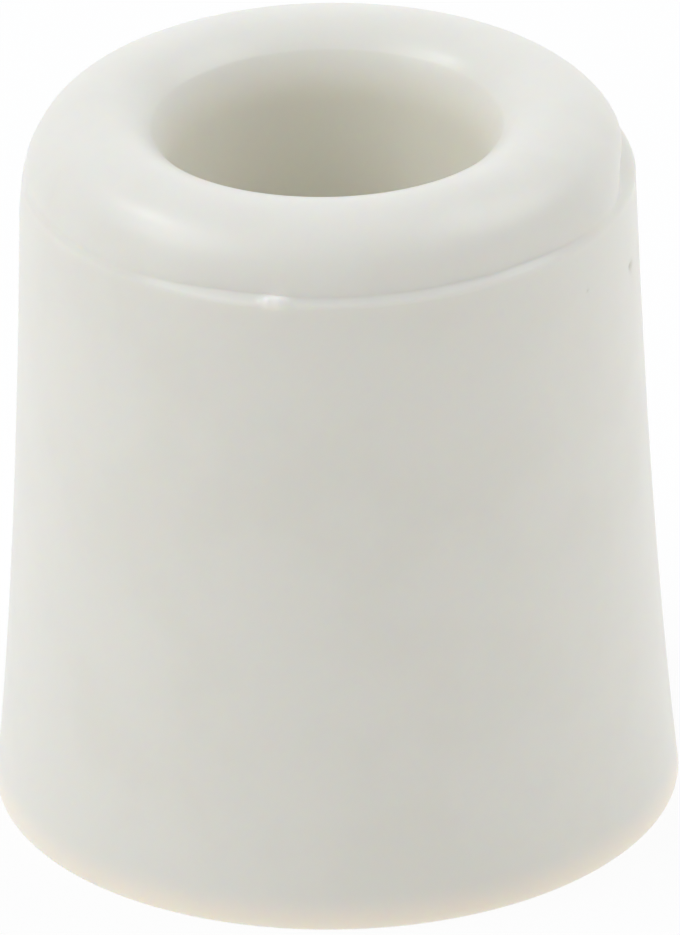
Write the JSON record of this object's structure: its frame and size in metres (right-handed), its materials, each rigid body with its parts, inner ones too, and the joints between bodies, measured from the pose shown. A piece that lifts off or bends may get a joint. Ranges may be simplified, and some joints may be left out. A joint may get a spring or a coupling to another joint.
{
  "type": "door stop",
  "caption": "Round moulded rubber door stop with a flared side, a rolled top, and a deep central well with a screw hole through its seat.",
  "frame": {"origin": "middle of the flat base, at the height of the surface that the part stands on", "axes": "+Z is the axis of the turned body, from the base up to the rolled top; +X and +Y are alike"},
  "size_m": [0.04, 0.04, 0.043],
  "materials": {
    "off_white_rubber": "smooth moulded off-white rubber with a dull sheen"
  },
  "bodies": {
    "root": {"door_stop": "off_white_rubber"}
  },
  "joints": []
}
